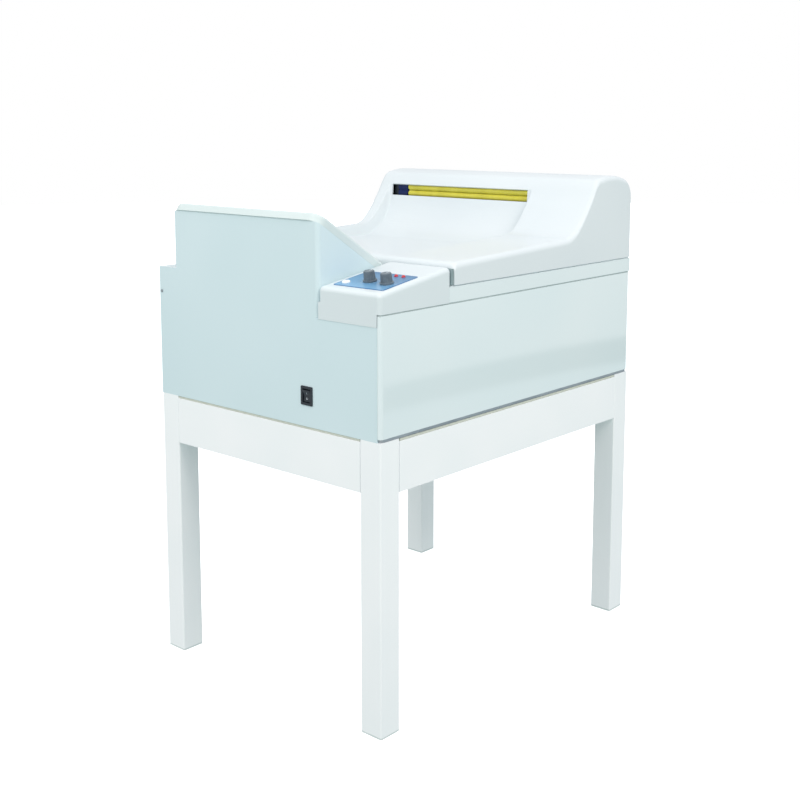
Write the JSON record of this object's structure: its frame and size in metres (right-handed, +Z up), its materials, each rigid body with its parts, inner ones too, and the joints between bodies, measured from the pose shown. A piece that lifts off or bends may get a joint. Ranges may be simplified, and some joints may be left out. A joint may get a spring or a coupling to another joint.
{
  "type": "x-ray film processor",
  "caption": "Cabinet on a square-legged stand with a sloping feed tray, control box, roller-driven film tanks, dryer and a moulded hinged cover with a film bay.",
  "frame": {"origin": "middle of the footprint on the floor", "axes": "+Z up, +Y along the film's way from the feed tray to the hump, +X along the rollers to the control box's side"},
  "size_m": [0.62, 0.84, 1.003],
  "materials": {
    "stand_paint": "semi-gloss white paint",
    "panel_paint": "satin pale grey paint",
    "side_paint": "gloss white paint",
    "moulded_white": "smooth moulded white",
    "black_plastic": "fine black moulding",
    "knob_plastic": "grey moulding",
    "overlay_blue": "printed blue film",
    "lamp_red": "clear red lens",
    "button_white": "white moulding",
    "roller_yellow": "yellow sleeve",
    "roller_grey": "grey sleeve",
    "tank_grey": "grey moulding",
    "sheet_steel": "bare sheet",
    "board_green": "circuit board",
    "belt_black": "flat belt",
    "cap_rubber": "foot cap"
  },
  "bodies": {
    "cabinet": {"leg_front_left": "stand_paint", "leg_front_right": "stand_paint", "leg_rear_left": "stand_paint", "leg_rear_right": "stand_paint", "apron_front": "stand_paint", "apron_rear": "stand_paint", "apron_left": "stand_paint", "apron_right": "stand_paint", "end_panel": "panel_paint", "rear_panel": "panel_paint", "left_panel": "side_paint", "right_panel": "side_paint", "deck_frame": "moulded_white", "feed_tray": "moulded_white", "control_box": "moulded_white", "switch_bezel": "black_plastic", "drain_spigots": "black_plastic", "circulation_pump": "black_plastic", "power_inlet": "black_plastic", "control_overlay": "overlay_blue", "indicator_lamps": "lamp_red", "tank_block": "tank_grey", "developer_rack": "tank_grey", "fixer_rack": "tank_grey", "wash_rack": "tank_grey", "stand_bolts": "sheet_steel", "base_pan": "sheet_steel", "frame_posts": "sheet_steel", "dryer_frame": "sheet_steel", "drive_motor": "sheet_steel", "blower_housing": "sheet_steel", "hinge_leaves": "sheet_steel", "control_board": "board_green", "drive_belts": "belt_black", "leg_end_caps": "cap_rubber"},
    "cover": {"top_cover": "moulded_white", "cover_hinges": "sheet_steel", "exit_bearings": "black_plastic"},
    "temperature_knob": {"temperature_knob": "knob_plastic"},
    "speed_knob": {"speed_knob": "knob_plastic"},
    "start_button": {"start_button": "button_white"},
    "switch_rocker": {"switch_rocker": "black_plastic"},
    "motor_pulley": {"motor_pulley": "sheet_steel"},
    "blower_wheel": {"blower_wheel": "black_plastic"},
    "exit_roller_lower": {"exit_roller_lower": "roller_yellow"},
    "exit_roller_upper": {"exit_roller_upper": "roller_yellow"},
    "developer_top_roller": {"developer_top_roller": "roller_grey"},
    "developer_bottom_roller": {"developer_bottom_roller": "roller_grey"},
    "fixer_top_roller": {"fixer_top_roller": "roller_grey"},
    "fixer_bottom_roller": {"fixer_bottom_roller": "roller_grey"},
    "wash_top_roller": {"wash_top_roller": "roller_grey"},
    "wash_bottom_roller": {"wash_bottom_roller": "roller_grey"},
    "developer_crossover": {"developer_crossover": "roller_grey"},
    "fixer_crossover": {"fixer_crossover": "roller_grey"},
    "wash_crossover": {"wash_crossover": "roller_grey"},
    "entry_roller_lower": {"entry_roller_lower": "roller_grey"},
    "entry_roller_upper": {"entry_roller_upper": "roller_grey"},
    "dryer_roller_lower": {"dryer_roller_lower": "roller_grey"},
    "dryer_roller_upper": {"dryer_roller_upper": "roller_grey"}
  },
  "joints": [
    {"name": "cover_lift", "type": "hinge", "parent": "cabinet", "child": "cover", "pos_m": [0, 0.4172, 0.819], "axis": [-1, 0, 0], "range_deg": [0, 70]},
    {"name": "developer_top_roller_spin", "type": "hinge", "parent": "cabinet", "child": "developer_top_roller", "pos_m": [-0.042, -0.125, 0.73629], "axis": [1, 0, 0], "continuous": true},
    {"name": "developer_bottom_roller_spin", "type": "hinge", "parent": "cabinet", "child": "developer_bottom_roller", "pos_m": [-0.042, -0.125, 0.612], "axis": [1, 0, 0], "continuous": true},
    {"name": "developer_crossover_spin", "type": "hinge", "parent": "cabinet", "child": "developer_crossover", "pos_m": [-0.042, -0.065, 0.76379], "axis": [1, 0, 0], "continuous": true},
    {"name": "fixer_top_roller_spin", "type": "hinge", "parent": "cabinet", "child": "fixer_top_roller", "pos_m": [-0.042, -0.005, 0.73629], "axis": [1, 0, 0], "continuous": true},
    {"name": "fixer_bottom_roller_spin", "type": "hinge", "parent": "cabinet", "child": "fixer_bottom_roller", "pos_m": [-0.042, -0.005, 0.612], "axis": [1, 0, 0], "continuous": true},
    {"name": "fixer_crossover_spin", "type": "hinge", "parent": "cabinet", "child": "fixer_crossover", "pos_m": [-0.042, 0.055, 0.76379], "axis": [1, 0, 0], "continuous": true},
    {"name": "wash_top_roller_spin", "type": "hinge", "parent": "cabinet", "child": "wash_top_roller", "pos_m": [-0.042, 0.115, 0.73629], "axis": [1, 0, 0], "continuous": true},
    {"name": "wash_bottom_roller_spin", "type": "hinge", "parent": "cabinet", "child": "wash_bottom_roller", "pos_m": [-0.042, 0.115, 0.612], "axis": [1, 0, 0], "continuous": true},
    {"name": "wash_crossover_spin", "type": "hinge", "parent": "cabinet", "child": "wash_crossover", "pos_m": [-0.042, 0.175, 0.76379], "axis": [1, 0, 0], "continuous": true},
    {"name": "entry_roller_lower_spin", "type": "hinge", "parent": "cabinet", "child": "entry_roller_lower", "pos_m": [-0.042, -0.15569, 0.7692], "axis": [1, 0, 0], "continuous": true},
    {"name": "entry_roller_upper_spin", "type": "hinge", "parent": "cabinet", "child": "entry_roller_upper", "pos_m": [-0.042, -0.14381, 0.78786], "axis": [1, 0, 0], "continuous": true},
    {"name": "dryer_roller_lower_spin", "type": "hinge", "parent": "cabinet", "child": "dryer_roller_lower", "pos_m": [-0.042, 0.345, 0.76629], "axis": [1, 0, 0], "continuous": true},
    {"name": "dryer_roller_upper_spin", "type": "hinge", "parent": "cabinet", "child": "dryer_roller_upper", "pos_m": [-0.042, 0.345, 0.92412], "axis": [1, 0, 0], "continuous": true},
    {"name": "exit_roller_lower_spin", "type": "hinge", "parent": "cover", "child": "exit_roller_lower", "pos_m": [-0.042, 0.274, 0.94647], "axis": [1, 0, 0], "continuous": true},
    {"name": "exit_roller_upper_spin", "type": "hinge", "parent": "cover", "child": "exit_roller_upper", "pos_m": [-0.042, 0.274, 0.96177], "axis": [1, 0, 0], "continuous": true},
    {"name": "motor_pulley_spin", "type": "hinge", "parent": "cabinet", "child": "motor_pulley", "pos_m": [-0.24, -0.3, 0.667], "axis": [1, 0, 0], "continuous": true},
    {"name": "blower_wheel_spin", "type": "hinge", "parent": "cabinet", "child": "blower_wheel", "pos_m": [0.221, 0.315, 0.65], "axis": [1, 0, 0], "continuous": true},
    {"name": "temperature_turn", "type": "hinge", "parent": "cabinet", "child": "temperature_knob", "pos_m": [0.23075, -0.35772, 0.83333], "axis": [0, -0.153, 0.9882], "range_deg": [-140, 140]},
    {"name": "speed_turn", "type": "hinge", "parent": "cabinet", "child": "speed_knob", "pos_m": [0.27375, -0.35969, 0.83303], "axis": [0, -0.153, 0.9882], "range_deg": [-140, 140]},
    {"name": "start_press", "type": "slide", "parent": "cabinet", "child": "start_button", "axis": [0, 0.153, -0.9882], "range_m": [0, 0.002], "stiffness_N_per_m": 400, "springref_m": -0.0005},
    {"name": "switch_tip", "type": "hinge", "parent": "cabinet", "child": "switch_rocker", "pos_m": [0.125, -0.413, 0.616], "axis": [1, 0, 0], "range_deg": [-14, 0]}
  ],
  "couplings": [
    {"joint": "developer_bottom_roller_spin", "follows": "developer_top_roller_spin", "ratio": 1},
    {"joint": "developer_crossover_spin", "follows": "developer_top_roller_spin", "ratio": -1},
    {"joint": "fixer_top_roller_spin", "follows": "developer_top_roller_spin", "ratio": 1},
    {"joint": "fixer_bottom_roller_spin", "follows": "developer_top_roller_spin", "ratio": 1},
    {"joint": "fixer_crossover_spin", "follows": "developer_top_roller_spin", "ratio": -1},
    {"joint": "wash_top_roller_spin", "follows": "developer_top_roller_spin", "ratio": 1},
    {"joint": "wash_bottom_roller_spin", "follows": "developer_top_roller_spin", "ratio": 1},
    {"joint": "wash_crossover_spin", "follows": "developer_top_roller_spin", "ratio": -1},
    {"joint": "entry_roller_lower_spin", "follows": "developer_top_roller_spin", "ratio": -2.75},
    {"joint": "entry_roller_upper_spin", "follows": "developer_top_roller_spin", "ratio": 2.75},
    {"joint": "dryer_roller_lower_spin", "follows": "developer_top_roller_spin", "ratio": 1},
    {"joint": "dryer_roller_upper_spin", "follows": "developer_top_roller_spin", "ratio": 1},
    {"joint": "exit_roller_lower_spin", "follows": "developer_top_roller_spin", "ratio": 4},
    {"joint": "exit_roller_upper_spin", "follows": "developer_top_roller_spin", "ratio": -4},
    {"joint": "motor_pulley_spin", "follows": "developer_top_roller_spin", "ratio": 1}
  ]
}
